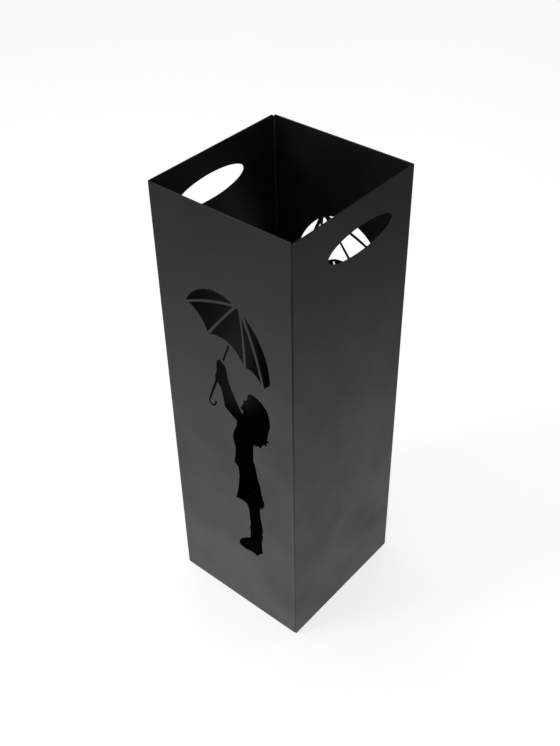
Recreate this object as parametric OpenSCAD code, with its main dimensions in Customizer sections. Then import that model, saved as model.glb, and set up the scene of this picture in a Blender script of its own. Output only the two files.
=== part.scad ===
// Square umbrella stand: two equal L-shaped folded steel shells, a folded base pan, push-in feet and a
// drip tray that lifts out. Units are millimetres. The origin is on the floor under the middle of the
// stand, +Z is up, the front wall faces -Y.

/* [Column] */
// Width across the two handle walls
width = 160; // [150:1:200]
// Depth across the two picture walls
depth = 165; // [150:1:200]
// Height of the rim above the floor
height = 490; // [470:1:600]
// Gap between the bottom edge of the walls and the floor
wall_lift = 1; // [0.5:0.5:3]

/* [Sheet metal] */
// Thickness of the steel sheet
sheet = 0.8; // [0.6:0.1:1]
// Outer radius of the upright bends
bend_r = 2.5; // [2:0.1:3]
// Height of the hem that is folded over inside the rim
hem_h = 4.5; // [3:0.5:8]
// Distance from a seam corner to where the rims beside it begin to slope down
notch_w = 3.2; // [3.1:0.1:4]
// Distance from a seam corner to the tips of those slopes
tip_gap = 1.3; // [1:0.1:2]
// Depth of the notch that is left between the tips
notch_h = 2.5; // [2:0.5:2.5]
// Width of the flange folded in behind each seam
flange_w = 14; // [10:1:20]
// Clearance between sheets that lie against each other
lap_fit = 0.05; // [0.02:0.01:0.1]

/* [Hand-holes] */
// Length of the oval hand-hole
hole_len = 90; // [70:1:100]
// Height of the oval hand-hole
hole_h = 26; // [22:1:32]
// Depth of the middle of the hand-hole under the rim
hole_drop = 38; // [30:1:45]
// Shift of the hand-hole towards the bent corner of its shell
hole_shift = 7; // [0:1:10]

/* [Base pan and feet] */
// Height of the underside of the base pan above the floor
pan_lift = 4; // [3:0.5:6]
// Height of the turned-up edges of the base pan
pan_h = 12; // [8:1:16]
// Length cut away from the pan's edges at each corner
pan_corner = 3; // [3:0.5:8]
// Distance from each foot to the outer face of the walls
foot_inset = 20; // [18:1:30]
// Radius of the foot pad
foot_r = 8; // [6:0.5:10]
// Radius of the foot hole in the pan
foot_hole_r = 3; // [2.5:0.1:4]

/* [Drip tray] */
// Width of the drip tray over its rim
tray_w = 150; // [130:1:152]
// Depth of the drip tray over its rim
tray_d = 155; // [130:1:156]
// Height of the drip tray
tray_h = 25; // [18:1:35]
// Wall thickness of the drip tray
tray_t = 1.6; // [1.2:0.1:2.5]
// Corner radius of the drip tray
tray_r = 10; // [6:1:20]

/* [Hidden] */
$fn = 48;

coat_colour = "#2a2a2c";
tray_colour = "#1c1c1d";
rubber_colour = "#151515";

curve_step = 5;            // longest straight piece in a bowed stretch of an outline, about
oval_steps = 72;           // straight pieces in the oval hand-hole
cut_reach = 2;             // how far a cut runs past each side of a wall
hem_gap = 0.5;             // gap between a seam flange and the hems above it
relief = 0.4;              // gap between the seam bend and the tips above it
tip_end = 0.5;             // height of the blunt end of a tip
pan_gap = 1;               // gap between the pan's edges and a seam flange above them

half_w = width / 2;
half_d = depth / 2;
seam_x = half_w - sheet - lap_fit - bend_r;    // where the seam bend starts on the front wall
wall_top = height - notch_h;                   // top of a wall where it has no hem, and of the seam bend
tip_low = wall_top + relief;                   // underside of a hem's tip
flange_top = height - hem_h - hem_gap;         // top of the seam flange, just under the hems
edge_back = 0.3;                               // how far a plain wall edge stops short of the corner
flange_z = pan_lift + pan_h + pan_gap;         // the flange starts just above the pan's edge

pan_w = width - 2 * (sheet + lap_fit);
pan_d = depth - 2 * (sheet + lap_fit);
foot_x = half_w - foot_inset;
foot_y = half_d - foot_inset;
foot_edge = 0.8;           // bevel under the foot's rim
barb_h = 2;                // height of the foot's barb above the pan
barb_w = 1.2;              // how far the barb stands over the edge of its hole
neck_fit = 0.05;           // clearance between the foot's neck and its hole
barb_r = foot_hole_r + barb_w;
neck_r = foot_hole_r - neck_fit;

tray_gap = 0.3;            // clearance under the tray
tray_z = pan_lift + sheet + tray_gap;
tray_rim_w = 1.6;          // how far the tray's rim stands out from its wall
tray_rim_t = 2;            // thickness of the tray's rim
tray_step = 2.6;           // how far the tray's floor is raised above its foot
rib_h = 2;                 // height of the ribs on the tray's floor
rib_w = 1.6;
rib_count = 7;
rib_root = 0.1;            // how far the ribs are sunk into the floor

// ---- Outlines --------------------------------------------------------------------------------------
// An outline is a list of marks [x, z, bow] that goes clockwise. The stretch from a mark to the next one
// stands "bow" out to its left at the middle, which is away from the shape, and is straight where bow is 0.

function left_of(a, b) = [a.y - b.y, b.x - a.x] / norm([b.x - a.x, b.y - a.y]);

function bowed(a, b) =
    let (steps = a[2] == 0 ? 1 : 2 + ceil(norm([b.x - a.x, b.y - a.y]) / curve_step))
    [for (i = [0 : steps - 1])
        let (t = i / steps)
        [a.x, a.y] * (1 - t) + [b.x, b.y] * t + left_of(a, b) * 4 * a[2] * t * (1 - t)];

function outline(marks) =
    [for (i = [0 : len(marks) - 1]) each bowed(marks[i], marks[(i + 1) % len(marks)])];

// ---- Picture ---------------------------------------------------------------------------------------
// A child holds up a tilted umbrella. It is drawn as seen from outside, x to the right and z up, with
// x = 0 on the middle of the wall and z = 0 on the floor.

canopy_panels = [
    // upper edge panel
    [[-45.5, 382.5, 4.5], [-14, 407.5, 1.8], [12.5, 404, -2.3]],
    // left panel
    [[-42, 382, 1.7], [12.5, 401, 0], [-20.5, 359.5, -3.5]],
    // middle panel
    [[-17.5, 358, 0.8], [16, 401, 0], [18.4, 401, 1.2], [21.6, 342.5, -2.4], [3, 359.2, -1.5]],
    // right panel
    [[25, 340, -0.6], [21.6, 394, 2], [42.6, 329, -3.2]],
    // lower edge panel
    [[45.5, 327, -2.1], [24.4, 397, 7.8], [52.4, 334, 0]]
];

shaft_marks = [[-4.1, 335, 0], [3.9, 355.8, 0], [6.2, 354.9, 0], [-2.4, 333.6, 0]];

crook_marks = [
    [-25.4, 276.6, 0], [-13.5, 309.8, 0], [-11.2, 307, 0], [-23.3, 277, -1.2],
    [-20.6, 273, -1], [-17, 278.6, 0.6], [-14.8, 279, 1.2], [-20.2, 270.4, 1.6]
];

// raised arms with the hands at the top, from the hands down the right side
arm_marks = [
    [-12, 326, 1.2], [-8, 333.4, 0.8], [-4.2, 330, 0.4], [-1, 328.6, 0.3], [1, 318, -0.2],
    [3, 309, -0.5], [17, 281.6, 0], [22, 262, 0], [10, 262, 0], [9.8, 268.6, 0.4],
    [-4.6, 278.4, -0.6], [-8.4, 300.6, 0.3], [-11.4, 303.6, 0.2], [-12.4, 307.4, 0],
    // fingers of the lower hand
    [-15, 309.6, 0.6], [-13.6, 313, 0.5], [-12.6, 316.2, 0.5], [-11.8, 319.4, 0.3]
];

body_marks = [
    // shoulder, back and shirt hem
    [10, 268, 0], [17.5, 282, 0.2], [20.5, 288, 0], [36, 262, 0], [30, 250, -0.4], [28.8, 226, 0],
    [30.4, 223.4, 0],
    // back of the skirt
    [32.4, 212, -0.6], [36.4, 197, -0.3], [38.6, 183, 0.2], [40.8, 175.6, 0.8], [37.4, 166, 0],
    // back of the leg and boot
    [35.2, 166, -0.6], [35.4, 149, 0.3], [37, 138, 0.3], [37.2, 130.4, 0], [36.2, 128.6, 0],
    [37.8, 125, -0.8], [35.8, 109, -0.4], [36.6, 99.6, 0.6], [32.2, 95, 0.3],
    // sole and toe
    [29, 89.6, 0.6], [25.4, 90, -0.8], [16.6, 89.6, 0.6], [7, 89.8, 1.4], [4.2, 96, 0.8],
    [10.6, 104.6, 0.6], [18.4, 110.6, -0.6], [20.4, 117, -0.4],
    // front of the boot and leg
    [19.6, 128.4, 0.3], [20.8, 130.8, 0], [21.4, 133, 0.4], [20.4, 150, -0.5],
    // front of the skirt, shirt hem and chest
    [17.4, 161, -1], [2.6, 160.8, -1], [8.4, 190, -0.8], [8.2, 207, -0.5], [3.4, 210.2, -0.4],
    [6.2, 232, -0.2], [3.4, 243, 1.2], [9.4, 262, 0.6]
];

// bob of hair, from the fringe over the crown to the ragged ends at the neck
hair_marks = [
    [24.6, 305.6, 1.2], [29.4, 311.4, 1], [39.4, 309, 2.2], [50.2, 294, 1.6], [48.6, 275, 0.4],
    [46.8, 266.4, -0.5], [50, 263.4, 0.2], [46.6, 262, -0.4], [46.4, 256.4, 0.2], [42.6, 257, -0.5],
    [41, 254.4, 0.2], [38.4, 250, 0.2], [35.6, 251.4, -0.3], [33.4, 248.8, 0.2], [29, 250, 0],
    [22, 262, 0], [22, 284, 0]
];

// Head of a child in its own frame: upright, facing left, one unit high from chin to crown. The eyes
// would lie at half height, and the nose ends halfway between the brow and the chin.
head_marks = [
    [-0.37, 0.3, 0.03], [-0.28, 0.42, 0.05], [0.05, 0.5, 0.1], [0.4, 0.2, 0.09], [0.36, -0.25, 0],
    [0.05, -0.5, 0], [-0.2, -0.46, -0.01], [-0.31, -0.5, 0.04], [-0.4, -0.42, 0.01],
    [-0.375, -0.335, 0.008], [-0.405, -0.285, 0.008], [-0.385, -0.255, 0.008], [-0.415, -0.22, 0.004],
    [-0.405, -0.165, 0.012], [-0.475, -0.115, -0.006], [-0.405, 0.045, 0.012]
];
head_size = 31.5;           // from chin to crown
head_tilt = 35;            // how far the face looks up
head_at = [33.8, 293.5];

module canopy() {
    for (panel = canopy_panels) {
        polygon(outline(panel));
    }
}

module umbrella_stick() {
    polygon(outline(shaft_marks));
    polygon(outline(crook_marks));
}

module child() {
    polygon(outline(arm_marks));
    polygon(outline(body_marks));
    polygon(outline(hair_marks));
    translate(head_at) rotate(-head_tilt) polygon(outline(head_marks * head_size));
}

module picture() {
    canopy();
    umbrella_stick();
    child();
}

module hand_hole() {
    polygon([for (i = [0 : oval_steps - 1])
        [cos(i * 360 / oval_steps) * hole_len / 2, sin(i * 360 / oval_steps) * hole_h / 2]]);
}

// ---- Shells ----------------------------------------------------------------------------------------

// Quarter of a ring around the origin, in the corner that the signs of dir point to
module quarter_ring(r_out, r_in, dir) {
    intersection() {
        difference() {
            circle(r_out);
            circle(r_in);
        }
        translate([min(dir.x, 0), min(dir.y, 0)] * r_out) square(r_out);
    }
}

// Plan of an L that follows the outer faces of the front and left walls, "thick" deep
module shell_plan(thick, front_end, left_end) {
    translate([bend_r - half_w, -half_d]) square([front_end + half_w - bend_r, thick]);
    translate([-half_w, bend_r - half_d]) square([thick, left_end + half_d - bend_r]);
    translate([bend_r - half_w, bend_r - half_d]) quarter_ring(bend_r, bend_r - thick, [-1, -1]);
}

// Round fold along the top of the hem, with its middle line one sheet inside the outer faces
module hem_fold() {
    translate([bend_r - half_w, sheet - half_d, height - sheet])
        rotate([0, 90, 0]) cylinder(h = width - bend_r - tip_gap, r = sheet);
    translate([sheet - half_w, bend_r - half_d, height - sheet])
        rotate([-90, 0, 0]) cylinder(h = depth - bend_r - tip_gap, r = sheet);
    translate([bend_r - half_w, bend_r - half_d, height - sheet])
        rotate([0, 0, 180]) rotate_extrude(angle = 90) translate([bend_r - sheet, 0]) circle(sheet);
}

// Wedge that slopes the end of a rim along X down to its tip, for the end at x = 0
module tip_slope() {
    run = notch_w - tip_gap;
    drop = height - tip_low - tip_end;
    translate([0, cut_reach, -drop]) rotate([90, 0, 0]) linear_extrude(2 * cut_reach)
        polygon([[0, 0], [-run * (1 + cut_reach), drop * (1 + cut_reach)], [0, drop * (1 + cut_reach)]]);
}

module seam_flange() {
    translate([0, 0, wall_lift]) linear_extrude(wall_top - wall_lift)
        translate([seam_x, bend_r - half_d]) quarter_ring(bend_r, bend_r - sheet, [1, -1]);
    translate([seam_x + bend_r - sheet, bend_r - half_d, flange_z])
        cube([sheet, flange_w - bend_r, flange_top - flange_z]);
}

module shell() {
    difference() {
        union() {
            translate([0, 0, wall_lift]) linear_extrude(wall_top - wall_lift)
                shell_plan(sheet, seam_x, half_d - edge_back);
            translate([0, 0, height - hem_h]) linear_extrude(hem_h - sheet)
                shell_plan(2 * sheet, half_w - notch_w, half_d - notch_w);
            translate([0, 0, tip_low]) linear_extrude(height - sheet - tip_low)
                shell_plan(2 * sheet, half_w - tip_gap, half_d - tip_gap);
            hem_fold();
            seam_flange();
        }
        translate([half_w - tip_gap, sheet - half_d, height]) tip_slope();
        translate([sheet - half_w, half_d - tip_gap, height]) rotate(90) tip_slope();
        translate([0, cut_reach - half_d, 0])
            rotate([90, 0, 0]) linear_extrude(2 * cut_reach) picture();
        translate([-half_w - cut_reach, -hole_shift, height - hole_drop])
            rotate([90, 0, 90]) linear_extrude(2 * cut_reach) hand_hole();
    }
}

module front_left_shell() {
    color(coat_colour) shell();
}

module rear_right_shell() {
    color(coat_colour) rotate([0, 0, 180]) shell();
}

// ---- Base pan and feet -----------------------------------------------------------------------------

// One turned-up edge of the pan, "length" long along X, with its outer face at y = 0
module pan_edge(length) {
    translate([-length / 2, 0, 0]) rotate([90, 0, 90]) linear_extrude(length) {
        translate([0, bend_r]) square([sheet, pan_h - bend_r]);
        translate([bend_r, bend_r]) quarter_ring(bend_r, bend_r - sheet, [-1, -1]);
    }
}

module base_pan() {
    color(coat_colour) translate([0, 0, pan_lift]) {
        difference() {
            translate([bend_r - pan_w / 2, bend_r - pan_d / 2, 0])
                cube([pan_w - 2 * bend_r, pan_d - 2 * bend_r, sheet]);
            for (x = [-1, 1], y = [-1, 1]) {
                translate([x * pan_w / 2, y * pan_d / 2, 0])
                    cube([2 * pan_corner, 2 * pan_corner, 2 * cut_reach], center = true);
                translate([x * foot_x, y * foot_y, -cut_reach])
                    cylinder(h = 2 * cut_reach, r = foot_hole_r);
            }
        }
        for (turn = [0, 180]) {
            rotate(turn) translate([0, -pan_d / 2, 0]) pan_edge(pan_w - 2 * pan_corner);
            rotate(turn + 90) translate([0, -pan_w / 2, 0]) pan_edge(pan_d - 2 * pan_corner);
        }
    }
}

// Push-in rubber foot: pad under the pan, neck through its hole and barb above it
module foot(x, y) {
    top = pan_lift + sheet;
    color(rubber_colour) translate([x, y, 0]) rotate_extrude() polygon([
        [0, 0], [foot_r - foot_edge, 0], [foot_r, foot_edge], [foot_r, pan_lift], [neck_r, pan_lift],
        [neck_r, top], [barb_r, top], [neck_r, top + barb_h], [0, top + barb_h]
    ]);
}

module foot_front_left() {
    foot(-foot_x, -foot_y);
}

module foot_front_right() {
    foot(foot_x, -foot_y);
}

module foot_rear_left() {
    foot(-foot_x, foot_y);
}

module foot_rear_right() {
    foot(foot_x, foot_y);
}

// ---- Drip tray -------------------------------------------------------------------------------------

module rounded_plan(w, d, r) {
    square([w - 2 * r, d], center = true);
    square([w, d - 2 * r], center = true);
    for (x = [-1, 1], y = [-1, 1]) {
        translate([x * (w / 2 - r), y * (d / 2 - r)]) circle(r);
    }
}

module drip_tray() {
    wall_w = tray_w - 2 * tray_rim_w;
    wall_d = tray_d - 2 * tray_rim_w;
    floor_top = tray_step + tray_t;
    rib_pitch = (wall_w - 2 * tray_r) / (rib_count - 1);
    color(tray_colour) translate([0, 0, tray_z]) {
        difference() {
            union() {
                linear_extrude(tray_h) rounded_plan(wall_w, wall_d, tray_r);
                translate([0, 0, tray_h - tray_rim_t]) linear_extrude(tray_rim_t)
                    rounded_plan(tray_w, tray_d, tray_r + tray_rim_w);
            }
            translate([0, 0, floor_top]) linear_extrude(tray_h)
                rounded_plan(wall_w - 2 * tray_t, wall_d - 2 * tray_t, tray_r - tray_t);
            translate([0, 0, -cut_reach]) linear_extrude(tray_step + cut_reach)
                rounded_plan(wall_w - 2 * tray_t, wall_d - 2 * tray_t, tray_r - tray_t);
        }
        for (i = [0 : rib_count - 1]) {
            translate([(i - (rib_count - 1) / 2) * rib_pitch, 0, floor_top + (rib_h - rib_root) / 2])
                cube([rib_w, wall_d - 4 * tray_r, rib_h + rib_root], center = true);
        }
    }
}

front_left_shell();
rear_right_shell();
base_pan();
drip_tray();
foot_front_left();
foot_front_right();
foot_rear_left();
foot_rear_right();
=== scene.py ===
import math

import bmesh
import bpy
from mathutils import Matrix, Vector


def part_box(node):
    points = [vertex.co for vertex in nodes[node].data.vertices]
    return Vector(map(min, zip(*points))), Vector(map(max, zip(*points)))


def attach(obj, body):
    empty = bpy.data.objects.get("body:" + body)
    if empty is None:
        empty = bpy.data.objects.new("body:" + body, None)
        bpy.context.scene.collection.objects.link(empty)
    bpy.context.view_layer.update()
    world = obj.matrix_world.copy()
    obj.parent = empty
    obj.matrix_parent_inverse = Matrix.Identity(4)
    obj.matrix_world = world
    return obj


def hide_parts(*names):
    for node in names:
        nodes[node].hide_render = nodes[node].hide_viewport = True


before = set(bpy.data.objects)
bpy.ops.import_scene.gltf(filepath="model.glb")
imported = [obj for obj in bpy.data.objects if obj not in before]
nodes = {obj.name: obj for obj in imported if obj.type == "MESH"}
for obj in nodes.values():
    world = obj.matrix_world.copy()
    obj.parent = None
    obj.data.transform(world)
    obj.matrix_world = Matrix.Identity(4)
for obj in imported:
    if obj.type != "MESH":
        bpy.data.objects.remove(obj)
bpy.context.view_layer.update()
scene = bpy.context.scene
MM = 0.001

# ---- Camera ----------------------------------------------------------------------------------------
# It stands off the front corner between the picture wall and the right handle wall and looks down.

CAM_AZIMUTH = 40.742
CAM_ELEVATION = 39.562
CAM_ROLL = -1.088
CAM_AIM = (-5.122, 268.676)      # sideways from the middle of the stand, and height, in mm
CAM_DISTANCE = 994.24
CAM_LENS = 48.489


def make_camera():
    azimuth, elevation, roll = (math.radians(a) for a in (CAM_AZIMUTH, CAM_ELEVATION, CAM_ROLL))
    back = Vector((math.sin(azimuth) * math.cos(elevation),
                   -math.cos(azimuth) * math.cos(elevation), math.sin(elevation)))
    level = Vector((math.cos(azimuth), math.sin(azimuth), 0))
    up = back.cross(level)
    side = level * math.cos(roll) + up * math.sin(roll)
    top = up * math.cos(roll) - level * math.sin(roll)
    place = level * CAM_AIM[0] + Vector((0, 0, CAM_AIM[1])) + back * CAM_DISTANCE
    data = bpy.data.cameras.new("camera")
    data.lens, data.sensor_width, data.sensor_fit = CAM_LENS, 36, "AUTO"
    data.clip_start, data.clip_end = 0.02, 50
    camera = bpy.data.objects.new("camera", data)
    turn = Matrix((side, top, back)).transposed().to_4x4()
    camera.matrix_world = Matrix.Translation(place * MM) @ turn
    scene.collection.objects.link(camera)
    scene.camera = camera


make_camera()


# ---- Materials -------------------------------------------------------------------------------------

class Surface:
    """A material with one Principled shader, and short calls for the nodes that feed it."""

    def __init__(self, name, colour, roughness, metallic=0.0, ior=1.5):
        self.material = bpy.data.materials.new(name)
        self.material.use_nodes = True
        self.tree = self.material.node_tree
        self.tree.nodes.clear()
        self.out = self.tree.nodes.new("ShaderNodeOutputMaterial")
        self.shader = self.tree.nodes.new("ShaderNodeBsdfPrincipled")
        self.link(self.shader.outputs["BSDF"], self.out.inputs["Surface"])
        self.shader.inputs["Base Color"].default_value = (*colour, 1)
        self.shader.inputs["Roughness"].default_value = roughness
        self.shader.inputs["Metallic"].default_value = metallic
        self.shader.inputs["IOR"].default_value = ior
        self.place = self.tree.nodes.new("ShaderNodeTexCoord").outputs["Object"]
        self.last_bump = None

    def link(self, a, b):
        self.tree.links.new(a, b)

    def noise(self, size, detail=2.0, stretch=(1, 1, 1), roughness=0.5, seed=0.0):
        """Noise whose features are about "size" metres."""
        mapping = self.tree.nodes.new("ShaderNodeMapping")
        mapping.inputs["Scale"].default_value = stretch
        mapping.inputs["Location"].default_value = (seed, seed * 0.7, seed * 1.3)
        self.link(self.place, mapping.inputs["Vector"])
        node = self.tree.nodes.new("ShaderNodeTexNoise")
        node.inputs["Scale"].default_value = 1 / size
        node.inputs["Detail"].default_value = detail
        node.inputs["Roughness"].default_value = roughness
        self.link(mapping.outputs["Vector"], node.inputs["Vector"])
        return node.outputs["Fac"]

    def ramp(self, value, low, high, to_low=0.0, to_high=1.0):
        node = self.tree.nodes.new("ShaderNodeMapRange")
        node.interpolation_type = "SMOOTHSTEP"
        for name, number in (("From Min", low), ("From Max", high),
                             ("To Min", to_low), ("To Max", to_high)):
            node.inputs[name].default_value = number
        self.link(value, node.inputs["Value"])
        return node.outputs["Result"]

    def maths(self, operation, a, b):
        node = self.tree.nodes.new("ShaderNodeMath")
        node.operation = operation
        self.link(a, node.inputs[0])
        self.link(b, node.inputs[1])
        return node.outputs["Value"]

    def sum(self, a, b):
        return self.maths("ADD", a, b)

    def times(self, a, b):
        return self.maths("MULTIPLY", a, b)

    def mix(self, fac, a, b):
        """A colour between a and b, where each is a colour or an output."""
        node = self.tree.nodes.new("ShaderNodeMix")
        node.data_type = "RGBA"
        self.link(fac, node.inputs["Factor"])
        for socket, value in ((node.inputs[6], a), (node.inputs[7], b)):
            if isinstance(value, tuple):
                socket.default_value = (*value, 1)
            else:
                self.link(value, socket)
        return node.outputs[2]

    def edge_wear_and_sheen(self, radius, low, high):
        """1 on an edge of the shape and 0 away from it, where low and high are the cosines of the turn
        of the surface, within the radius, that count as an edge and as flat."""
        bevel = self.tree.nodes.new("ShaderNodeBevel")
        bevel.samples = 6
        bevel.inputs["Radius"].default_value = radius
        geometry = self.tree.nodes.new("ShaderNodeNewGeometry")
        dot = self.tree.nodes.new("ShaderNodeVectorMath")
        dot.operation = "DOT_PRODUCT"
        self.link(bevel.outputs["Normal"], dot.inputs[0])
        self.link(geometry.outputs["Normal"], dot.inputs[1])
        return self.ramp(dot.outputs["Value"], high, low, 0.0, 1.0)

    def bump(self, height, depth):
        """Adds a bump whose full height is "depth" metres."""
        node = self.tree.nodes.new("ShaderNodeBump")
        node.inputs["Strength"].default_value = 1
        node.inputs["Distance"].default_value = depth
        self.link(height, node.inputs["Height"])
        if self.last_bump is not None:
            self.link(self.last_bump, node.inputs["Normal"])
        self.last_bump = node.outputs["Normal"]
        self.link(self.last_bump, self.shader.inputs["Normal"])

    def colour(self, value):
        self.link(value, self.shader.inputs["Base Color"])

    def rough(self, value):
        self.link(value, self.shader.inputs["Roughness"])


EDGE_WEAR_AND_SHEEN_COLOUR = (0.05, 0.05, 0.051)       # lighter grey on edges: partly worn coat, partly a painted highlight


def powder_coat(name, dark, light, rough_low, rough_high):
    """Satin black powder coat: fine grain, orange peel, a sheet that isn't quite flat, and edges a little
    lighter in places, partly from wear where the coat is thin and partly as a painted highlight for the
    sheen that edges catch."""
    s = Surface(name, dark, rough_low)
    cloud = s.noise(0.09, detail=3)
    grain = s.noise(0.0011, detail=2, seed=3.1)
    mottled = s.mix(s.ramp(s.sum(cloud, grain), 0.75, 1.3), dark, light)
    # painted highlight and wear: edges found by the bevel are mixed, in noisy patches, towards a lighter
    # grey that stands partly for worn coat and partly for the sheen that edges catch
    wear_and_sheen_mask = s.times(s.edge_wear_and_sheen(0.0005, 0.6, 0.97), s.ramp(s.noise(0.012, detail=4, seed=7.7), 0.35, 0.65))
    s.colour(s.mix(wear_and_sheen_mask, mottled, EDGE_WEAR_AND_SHEEN_COLOUR))
    s.rough(s.ramp(s.sum(s.noise(0.05, detail=4, seed=1.7), grain), 0.7, 1.35, rough_low, rough_high))
    s.bump(s.noise(0.16, detail=1, seed=5.3), 0.0004)
    s.bump(s.noise(0.0021, detail=2, seed=2.2), 0.000016)
    s.bump(s.noise(0.0006, detail=2, seed=4.4), 0.000008)
    return s


def moulded_plastic(name, dark, light):
    """Matt black polypropylene with a fine spark-eroded texture and faint flow marks."""
    s = Surface(name, dark, 0.5)
    flow = s.noise(0.03, detail=3, stretch=(1, 0.25, 1), seed=8.0)
    grain = s.noise(0.0008, detail=3, seed=6.0)
    s.colour(s.mix(s.ramp(s.sum(flow, grain), 0.7, 1.35), dark, light))
    s.rough(s.ramp(s.sum(flow, grain), 0.7, 1.3, 0.5, 0.66))
    s.bump(grain, 0.00003)
    return s


def rubber(name, dark, light):
    """Matt rubber with moulding dust."""
    s = Surface(name, dark, 0.75)
    dust = s.noise(0.004, detail=5, roughness=0.7, seed=1.0)
    s.colour(s.mix(s.ramp(dust, 0.45, 0.75), dark, light))
    s.rough(s.ramp(dust, 0.3, 0.7, 0.65, 0.9))
    s.bump(s.noise(0.0005, detail=3, seed=9.0), 0.00004)
    return s


coat = powder_coat("powder_coat", (0.007, 0.007, 0.0072), (0.011, 0.011, 0.0113), 0.34, 0.46)
coat_pan = powder_coat("powder_coat_pan", (0.007, 0.007, 0.0072), (0.011, 0.011, 0.0113), 0.4, 0.52)
tray_plastic = moulded_plastic("tray_plastic", (0.006, 0.006, 0.0063), (0.012, 0.012, 0.0123))
foot_rubber = rubber("foot_rubber", (0.010, 0.010, 0.010), (0.024, 0.0235, 0.023))


# ---- Mesh helpers ----------------------------------------------------------------------------------

def new_piece(name, bm, material, smooth_angle=35):
    bmesh.ops.recalc_face_normals(bm, faces=bm.faces)
    mesh = bpy.data.meshes.new(name)
    bm.to_mesh(mesh)
    bm.free()
    mesh.materials.append(material.material)
    piece = bpy.data.objects.new(name, mesh)
    scene.collection.objects.link(piece)
    mesh.shade_smooth()
    if smooth_angle is not None:
        with bpy.context.temp_override(object=piece, active_object=piece, selected_objects=[piece],
                                       selected_editable_objects=[piece]):
            mesh.set_sharp_from_angle(angle=math.radians(smooth_angle))
    return piece


def rounded_loop(half_x, half_y, radius, steps=10):
    """Points of a rounded rectangle, counter-clockwise from the middle of a corner arc's start."""
    points = []
    for quarter, (sx, sy) in enumerate(((1, 1), (-1, 1), (-1, -1), (1, -1))):
        for i in range(steps + 1):
            angle = math.radians(90 * (quarter + i / steps))
            points.append((sx * (half_x - radius) + radius * math.cos(angle),
                           sy * (half_y - radius) + radius * math.sin(angle)))
    return points


def bridge(bm, ring_a, ring_b):
    count = len(ring_a)
    for i in range(count):
        j = (i + 1) % count
        bm.faces.new((ring_a[i], ring_a[j], ring_b[j], ring_b[i]))


def arc(centre, radius, start, end, steps):
    """Points (a, z) on an arc, with angles in degrees from the +a axis towards +z."""
    points = []
    for i in range(steps + 1):
        angle = math.radians(start + (end - start) * i / steps)
        points.append((centre[0] + radius * math.cos(angle), centre[1] + radius * math.sin(angle)))
    return points


# ---- Shells and base pan ---------------------------------------------------------------------------

SHEET = 0.8 * MM            # thickness of the steel
LAP_FIT = 0.05 * MM         # clearance between sheets that lie against each other
EDGE_ROUND = 0.00007        # the coat rounds a cut edge of the sheet by about this much


def soften(node, material):
    """Gives a CAD node its coat, and rounds its cut edges with modifiers."""
    piece = nodes[node]
    piece.data.materials.clear()
    piece.data.materials.append(material.material)
    weld = piece.modifiers.new("weld", "WELD")
    weld.merge_threshold = 1e-6
    bevel = piece.modifiers.new("bevel", "BEVEL")
    bevel.width = EDGE_ROUND
    bevel.segments = 2
    bevel.limit_method = "ANGLE"
    bevel.angle_limit = math.radians(40)
    bevel.use_clamp_overlap = False
    bevel.harden_normals = True


soften("front_left_shell", coat)
soften("rear_right_shell", coat)
soften("base_pan", coat_pan)


# ---- Drip tray -------------------------------------------------------------------------------------

TRAY_RIM = 1.6 * MM         # how far the rim stands out from the wall
TRAY_WALL = 1.6 * MM
TRAY_FLOOR = 2.6 * MM       # height of the floor's underside above the foot ring
TRAY_DRAFT = 0.7 * MM       # how much narrower the foot is than the wall's top, on each side
TRAY_CORNER = 11.6 * MM     # corner radius at the rim
RIB_COUNT = 7
# half width and height above the floor of a rib's section, in mm, from its foot to its top
RIB_SECTION = ((1.55, -0.1), (1.1, 0.12), (0.95, 0.45), (0.9, 1.35), (0.78, 1.7), (0.5, 1.93), (0.15, 2.0))
RIB_MARGIN = 20 * MM        # how far a rib stops short of the tray's wall, and the ribs of its width


def tray_profile(height):
    """The tray's section from the middle of the underside round the rim to the middle of the floor,
    as (distance in from the rim's outer edge, height)."""
    rim_t = 2.0 * MM
    lip = 0.5 * MM
    top = height
    wall = TRAY_RIM
    foot = wall + TRAY_DRAFT
    inner = foot + TRAY_WALL
    floor = TRAY_FLOOR + TRAY_WALL
    fillet = 3.0 * MM
    section = [(inner + 1.2 * MM, TRAY_FLOOR), (inner + 0.4 * MM, TRAY_FLOOR),
               (inner, TRAY_FLOOR - 0.4 * MM), (inner, 0.3 * MM), (inner - 0.3 * MM, 0)]
    section += [(foot + 1.0 * MM, 0)]
    section += [(foot + 1.0 * MM - a, b) for a, b in
                ((1.0 * MM * math.sin(math.radians(t)), 1.0 * MM * (1 - math.cos(math.radians(t))))
                 for t in (15, 30, 45, 60, 75, 90))]
    section += [(wall + TRAY_DRAFT * 0.15, top - rim_t - 0.6 * MM),
                (wall - 0.1 * MM, top - rim_t - 0.1 * MM)]
    section += [(lip + 0.2 * MM, top - rim_t)]
    section += arc((lip, top - rim_t + lip), lip, 270, 180, 4)
    section += arc((lip + 0.3 * MM, top - lip - 0.3 * MM), lip + 0.3 * MM, 180, 90, 6)
    mouth = wall + TRAY_WALL + 0.1 * MM
    section += arc((mouth - 0.8 * MM, top - 0.8 * MM), 0.8 * MM, 90, 0, 5)
    inside = inner + 0.2 * MM
    section += arc((inside + fillet, floor + fillet), fillet, 180, 270, 7)
    section += [(inside + fillet + 3 * MM, floor)]
    return section


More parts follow.
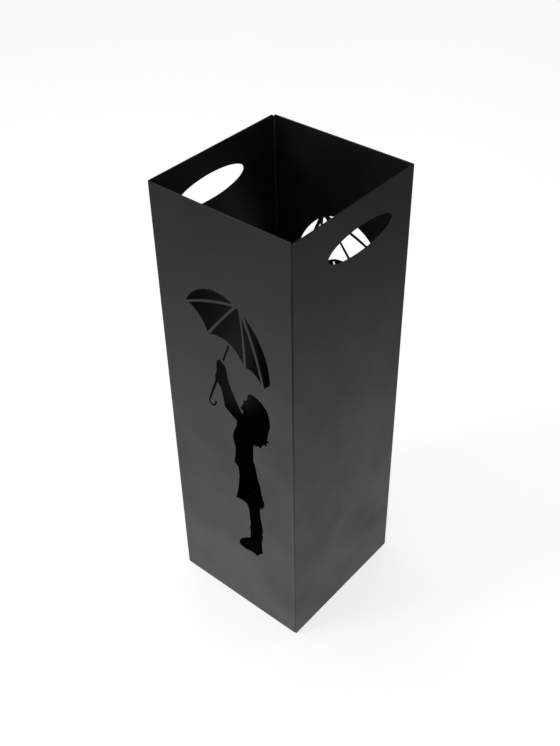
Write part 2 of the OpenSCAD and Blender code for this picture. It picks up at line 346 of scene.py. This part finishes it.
def make_tray():
    low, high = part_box("drip_tray")
    middle = (low + high) / 2
    half_x, half_y = (high.x - low.x) / 2, (high.y - low.y) / 2
    bm = bmesh.new()
    rings = []
    for inset, z in tray_profile(high.z - low.z):
        radius = max(TRAY_CORNER - inset, 3 * MM)
        rings.append([bm.verts.new((middle.x + x, middle.y + y, low.z + z))
                      for x, y in rounded_loop(half_x - inset, half_y - inset, radius)])
    for a, b in zip(rings, rings[1:]):
        bridge(bm, a, b)
    # both faces of the floor are filled from their ring with a small raised middle, as a mould leaves
    for ring, rise in ((rings[0], -0.15 * MM), (rings[-1], 0.0)):
        loops = [ring]
        for share in (0.66, 0.33):
            loops.append([bm.verts.new((middle.x + (v.co.x - middle.x) * share,
                                        middle.y + (v.co.y - middle.y) * share,
                                        v.co.z + rise * (1 - share))) for v in ring])
        for a, b in zip(loops, loops[1:]):
            bridge(bm, a, b)
        centre = bm.verts.new((middle.x, middle.y, ring[0].co.z + rise))
        inner = loops[-1]
        for i in range(len(inner)):
            bm.faces.new((inner[i], inner[(i + 1) % len(inner)], centre))
    tray = new_piece("moulded_drip_tray", bm, tray_plastic, 40)
    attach(tray, "tray")
    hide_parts("drip_tray")

    floor = low.z + TRAY_FLOOR + TRAY_WALL
    wall_w = high.x - low.x - 2 * TRAY_RIM
    wall_d = high.y - low.y - 2 * TRAY_RIM
    pitch = (wall_w - RIB_MARGIN) / (RIB_COUNT - 1)
    length = wall_d / 2 - RIB_MARGIN
    bm = bmesh.new()
    for i in range(RIB_COUNT):
        x = middle.x + (i - (RIB_COUNT - 1) / 2) * pitch
        add_rib(bm, x, middle.y, floor, length)
    ribs = new_piece("tray_floor_ribs", bm, tray_plastic, 50)
    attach(ribs, "tray")


def add_rib(bm, x, y, floor, length):
    """A rib with a round top and round ends, flared where it meets the floor."""
    rings = []
    for half, z in RIB_SECTION:
        half, z = half * MM, z * MM
        points = []
        for end in (1, -1):
            for i in range(9):
                angle = math.radians(-90 + 180 * i / 8 + (0 if end == 1 else 180))
                # 0 degrees looks along the rib
                points.append((x - half * math.sin(angle),
                               y + end * length + half * math.cos(angle)))
        rings.append([bm.verts.new((px, py, floor + z)) for px, py in points])
    for a, b in zip(rings, rings[1:]):
        bridge(bm, a, b)
    bm.faces.new(rings[-1])
    bm.faces.new(list(reversed(rings[0])))


make_tray()


# ---- Feet ------------------------------------------------------------------------------------------

FOOT_NECK = 2.95 * MM       # radius of the neck in the pan's hole
FOOT_TURNS = 48


def foot_profile(radius, height, pan_low, pan_top, neck):
    """The foot's half section from the middle of the underside up to the barb's tip."""
    edge = 0.9 * MM
    section = [(0, 0.55 * MM), (2.6 * MM, 0.55 * MM), (3.3 * MM, 0.45 * MM), (3.7 * MM, 0.1 * MM),
               (4.0 * MM, 0)]
    section += arc((radius - edge, edge), edge, 270, 360, 6)
    section += [(radius - 0.15 * MM, pan_low - 0.5 * MM)]
    section += arc((radius - 0.55 * MM, pan_low - 0.4 * MM), 0.4 * MM, 0, 90, 4)
    section += [(neck + 0.1 * MM, pan_low), (neck, pan_low + 0.05 * MM), (neck, pan_top),
                (neck + 0.6 * MM, pan_top + 0.03 * MM), (neck + 1.05 * MM, pan_top + 0.15 * MM),
                (neck + 1.2 * MM, pan_top + 0.35 * MM), (neck + 1.05 * MM, pan_top + 0.6 * MM),
                (neck + 0.35 * MM, height - 0.5 * MM), (neck - 0.1 * MM, height - 0.15 * MM),
                (neck - 0.6 * MM, height), (0, height)]
    return section


def make_foot(node):
    low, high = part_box(node)
    pan_low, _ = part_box("base_pan")
    middle = (low + high) / 2
    radius, height = (high.x - low.x) / 2, high.z - low.z
    bm = bmesh.new()
    rings = []
    turns = FOOT_TURNS
    for r, z in foot_profile(radius, height, pan_low.z, pan_low.z + SHEET, FOOT_NECK):
        if r < 1e-6:
            rings.append([bm.verts.new((middle.x, middle.y, low.z + z))])
        else:
            rings.append([bm.verts.new((middle.x + r * math.cos(2 * math.pi * i / turns),
                                        middle.y + r * math.sin(2 * math.pi * i / turns),
                                        low.z + z)) for i in range(turns)])
    for a, b in zip(rings, rings[1:]):
        if len(a) == 1 or len(b) == 1:
            tip, ring = (a[0], b) if len(a) == 1 else (b[0], a)
            for i in range(turns):
                bm.faces.new((ring[i], ring[(i + 1) % turns], tip))
        else:
            bridge(bm, a, b)
    foot = new_piece("rubber_" + node, bm, foot_rubber, 50)
    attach(foot, "stand")
    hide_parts(node)


for corner in ("front_left", "front_right", "rear_left", "rear_right"):
    make_foot("foot_" + corner)


# ---- Spot welds ------------------------------------------------------------------------------------
# Shallow electrode marks under the coat, on the inner faces of the seam flanges and the pan's edges.

WELD_R = 2.6 * MM
WELD_TURNS = 24
SEAM_WELDS = 6              # on each seam flange
SEAM_WELD_LOW = 48 * MM     # from the walls' bottom edge to the lowest weld
SEAM_WELD_PITCH = 78 * MM
SEAM_WELD_IN = 8.2 * MM     # from the corner's outer face to the middle of its flange
PAN_WELD_RISE = 1.5 * MM    # above the middle of the pan's edges
PAN_WELD_SHARES = (-0.62, 0, 0.62)      # along a pan edge, as shares of its half length
# share of the mark's radius, and height above the face in mm
WELD_SECTION = ((0, 0.02), (0.55, 0.02), (0.72, 0.06), (0.84, 0.12), (0.93, 0.10), (1.0, -0.02))


def add_weld(bm, at, normal):
    """A round mark on a face: a flat pressed middle with a low raised ring round it."""
    normal = Vector(normal)
    side = normal.orthogonal().normalized()
    other = normal.cross(side)
    turns = WELD_TURNS
    rings = []
    for share, rise in WELD_SECTION:
        if share == 0:
            rings.append([bm.verts.new(at + normal * rise * MM)])
            continue
        rings.append([bm.verts.new(at + normal * rise * MM + WELD_R * share *
                                   (side * math.cos(2 * math.pi * i / turns) +
                                    other * math.sin(2 * math.pi * i / turns))) for i in range(turns)])
    for a, b in zip(rings, rings[1:]):
        if len(a) == 1:
            for i in range(turns):
                bm.faces.new((b[i], b[(i + 1) % turns], a[0]))
        else:
            bridge(bm, a, b)


def make_welds():
    low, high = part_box("front_left_shell")
    pan_low, pan_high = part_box("base_pan")
    flange_x = -low.x - SHEET - LAP_FIT - SHEET      # inner face of the front seam's flange
    flange_y = low.y + SEAM_WELD_IN                  # middle of that flange
    bm = bmesh.new()
    for turn in (1, -1):
        for i in range(SEAM_WELDS):
            z = low.z + SEAM_WELD_LOW + SEAM_WELD_PITCH * i
            add_weld(bm, Vector((turn * flange_x, turn * flange_y, z)), (-turn, 0, 0))
    welds = new_piece("seam_spot_welds", bm, coat, 60)
    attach(welds, "stand")

    bm = bmesh.new()
    z = (pan_low.z + pan_high.z) / 2 + PAN_WELD_RISE
    for turn in (1, -1):
        for share in PAN_WELD_SHARES:
            add_weld(bm, Vector((turn * (pan_low.x + SHEET), share * pan_high.y, z)), (turn, 0, 0))
            add_weld(bm, Vector((share * pan_high.x, turn * (pan_low.y + SHEET), z)), (0, turn, 0))
    welds = new_piece("pan_spot_welds", bm, coat_pan, 60)
    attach(welds, "stand")


make_welds()


# ---- Studio ----------------------------------------------------------------------------------------

FLOOR_HALF = 5.0
FLOOR_GLOW = 0.72           # the floor is lit from below too, like a light table
WORLD_TOP = 2.2             # brightness that a glow of 1 stands for
FRONT_LEFT = (-0.652, -0.758)           # level direction that the world's brighter side lies in
SIDE_LIGHT = 0.35           # how much brighter the world is on the front left than on the rear right
DARK_BAND = 0.04            # brightness of the gap between the light table and the studio's walls
# glows added to it: brightness, and the height of the direction at which it starts and is full, from
# -1 for straight down to 1 for straight up
GLOWS = (
    (0.40, -0.50, -0.72),   # the light table round the stand
    (0.16, -0.42, 0.00),    # pale walls of the studio
    (-0.08, 0.10, 0.35),    # dimmer ceiling
)


def make_floor():
    s = Surface("studio_floor", (0.8, 0.8, 0.8), 0.9)
    paper = s.noise(0.4, detail=4)
    s.colour(s.mix(s.ramp(paper, 0.3, 0.7), (0.79, 0.79, 0.79), (0.81, 0.81, 0.81)))
    s.bump(s.noise(0.002, detail=2), 0.00002)
    s.shader.inputs["Emission Color"].default_value = (1, 1, 1, 1)
    s.shader.inputs["Emission Strength"].default_value = FLOOR_GLOW
    bm = bmesh.new()
    bmesh.ops.create_grid(bm, x_segments=8, y_segments=8, size=FLOOR_HALF)
    mesh = bpy.data.meshes.new("studio_floor")
    bm.to_mesh(mesh)
    bm.free()
    mesh.materials.append(s.material)
    floor = bpy.data.objects.new("studio_floor", mesh)
    scene.collection.objects.link(floor)
    floor.visible_glossy = False        # the coat mirrors the world's smooth gradient instead


def make_world():
    world = bpy.data.worlds.new("studio")
    world.use_nodes = True
    tree = world.node_tree
    place = tree.nodes.new("ShaderNodeTexCoord").outputs["Generated"]
    parts = tree.nodes.new("ShaderNodeSeparateXYZ")
    tree.links.new(place, parts.inputs[0])
    total = None
    for brightness, start, full in GLOWS:
        glow = tree.nodes.new("ShaderNodeMapRange")
        glow.interpolation_type = "SMOOTHSTEP"
        for name, number in (("From Min", start), ("From Max", full),
                             ("To Min", 0), ("To Max", brightness)):
            glow.inputs[name].default_value = number
        tree.links.new(parts.outputs["Z"], glow.inputs["Value"])
        add = tree.nodes.new("ShaderNodeMath")
        add.inputs[1].default_value = DARK_BAND
        tree.links.new(glow.outputs["Result"], add.inputs[0])
        if total is not None:
            tree.links.new(total, add.inputs[1])
        total = add.outputs["Value"]
    side = tree.nodes.new("ShaderNodeVectorMath")
    side.operation = "DOT_PRODUCT"
    side.inputs[1].default_value = (FRONT_LEFT[0] * SIDE_LIGHT, FRONT_LEFT[1] * SIDE_LIGHT, 0)
    tree.links.new(place, side.inputs[0])
    level = tree.nodes.new("ShaderNodeMath")
    level.operation = "MULTIPLY_ADD"
    level.inputs[1].default_value = WORLD_TOP
    level.inputs[2].default_value = WORLD_TOP
    tree.links.new(side.outputs["Value"], level.inputs[0])
    strength = tree.nodes.new("ShaderNodeMath")
    strength.operation = "MULTIPLY"
    tree.links.new(total, strength.inputs[0])
    tree.links.new(level.outputs["Value"], strength.inputs[1])
    back = tree.nodes["Background"]
    back.inputs["Color"].default_value = (1, 1, 1, 1)
    tree.links.new(strength.outputs["Value"], back.inputs["Strength"])
    scene.world = world


def area_light(name, at, aim, size, power, spread=180):
    data = bpy.data.lights.new(name, "AREA")
    data.energy = power
    data.size = size
    data.spread = math.radians(spread)
    light = bpy.data.objects.new(name, data)
    light.location = at
    light.rotation_mode = "QUATERNION"
    light.rotation_quaternion = (Vector(at) - Vector(aim)).to_track_quat("Z", "Y")
    scene.collection.objects.link(light)


make_floor()
make_world()
area_light("top_soft_box", (-0.3, 0.3, 1.8), (0, 0, 0.2), 1.2, 1.0, spread=110)
area_light("front_left_lamp", (-0.67, -1.06, 1.345), (0, 0, 0.45), 0.4, 3.3)     # draws the front rim
scene.view_settings.view_transform = "Standard"
scene.view_settings.look = "None"
